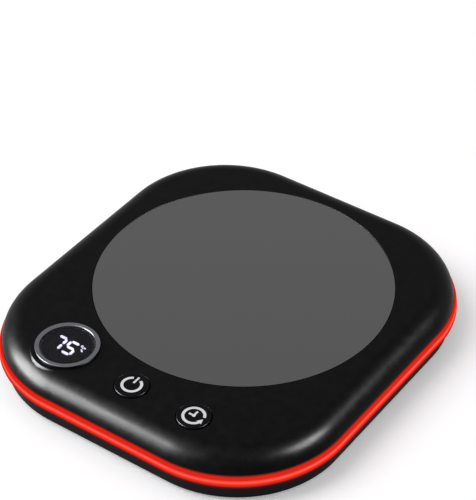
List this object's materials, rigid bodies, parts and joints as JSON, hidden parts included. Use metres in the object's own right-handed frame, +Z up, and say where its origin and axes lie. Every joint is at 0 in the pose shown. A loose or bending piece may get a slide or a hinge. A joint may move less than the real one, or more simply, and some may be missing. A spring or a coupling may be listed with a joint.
{
  "type": "electric mug warmer",
  "caption": "Low rounded warming base with a round glass plate, a light band round its waist, a round temperature display and push buttons for power and timer.",
  "frame": {"origin": "on the table, under the middle of the base", "axes": "+X to the user's right, -Y towards the user, where the display and buttons are, +Z up"},
  "size_m": [0.1306, 0.1428, 0.02],
  "materials": {
    "cover_plastic": "soft-touch satin black",
    "base_plastic": "fine matte black",
    "light_band": "frosted light guide, lit red",
    "foot_rubber": "matte",
    "screw_steel": "zinc plated",
    "plate_glass": "polished dark tempered glass, opaque",
    "gasket_silicone": "translucent silicone",
    "spreader_aluminium": "rolled",
    "element_foil": "film heater",
    "insulation": "ceramic fibre felt",
    "bracket_steel": "galvanised sheet",
    "sensor_epoxy": "epoxy bead",
    "fuse_ceramic": "glazed ceramic",
    "board_laminate": "solder mask",
    "bezel_metal": "turned and satin polished",
    "lens_acrylic": "polished smoked black",
    "module_plastic": "black",
    "digit_light": "lit segments, cool white",
    "button_plastic": "satin black",
    "symbol_plastic": "pale grey inlay",
    "switch_plastic": "moulded",
    "plunger_plastic": "moulded",
    "chip_epoxy": "moulded epoxy",
    "capacitor_sleeve": "sleeved can",
    "connector_nylon": "natural nylon",
    "strip_film": "flexible circuit",
    "led_lens": "phosphor",
    "inlet_steel": "nickel plated",
    "inlet_plastic": "moulded",
    "lead_insulation": "silicone insulation"
  },
  "bodies": {
    "housing": {"top_cover": "cover_plastic", "bottom_cover": "base_plastic", "light_band": "light_band", "foot_front_left": "foot_rubber", "foot_front_right": "foot_rubber", "foot_rear_left": "foot_rubber", "foot_rear_right": "foot_rubber", "housing_screws": "screw_steel", "glass_plate": "plate_glass", "plate_gasket": "gasket_silicone", "heat_spreader": "spreader_aluminium", "heating_element": "element_foil", "insulation_pad": "insulation", "heater_bracket": "bracket_steel", "bracket_screws": "screw_steel", "thermistor": "sensor_epoxy", "thermal_fuse": "fuse_ceramic", "fuse_clip": "bracket_steel", "control_board": "board_laminate", "board_screws": "screw_steel", "display_bezel": "bezel_metal", "display_lens": "lens_acrylic", "display_module": "module_plastic", "display_digits": "digit_light", "power_switch": "switch_plastic", "timer_switch": "switch_plastic", "control_chip": "chip_epoxy", "heater_transistor": "chip_epoxy", "filter_capacitor": "capacitor_sleeve", "heater_connector": "connector_nylon", "sensor_connector": "connector_nylon", "light_connector": "connector_nylon", "led_strip": "strip_film", "strip_leds": "led_lens", "inlet_shell": "inlet_steel", "inlet_tongue": "inlet_plastic", "inlet_board": "board_laminate", "inlet_board_screws": "screw_steel", "inlet_leads": "lead_insulation", "heater_leads": "lead_insulation", "sensor_leads": "lead_insulation", "light_leads": "lead_insulation"},
    "power_key": {"power_button": "button_plastic", "power_symbol": "symbol_plastic", "power_switch_plunger": "plunger_plastic"},
    "timer_key": {"timer_button": "button_plastic", "timer_symbol": "symbol_plastic", "timer_switch_plunger": "plunger_plastic"}
  },
  "joints": [
    {"name": "power_press", "type": "slide", "parent": "housing", "child": "power_key", "axis": [0, 0, -1], "range_m": [0, 0.0006], "stiffness_N_per_m": 1200},
    {"name": "timer_press", "type": "slide", "parent": "housing", "child": "timer_key", "axis": [0, 0, -1], "range_m": [0, 0.0006], "stiffness_N_per_m": 1200}
  ]
}
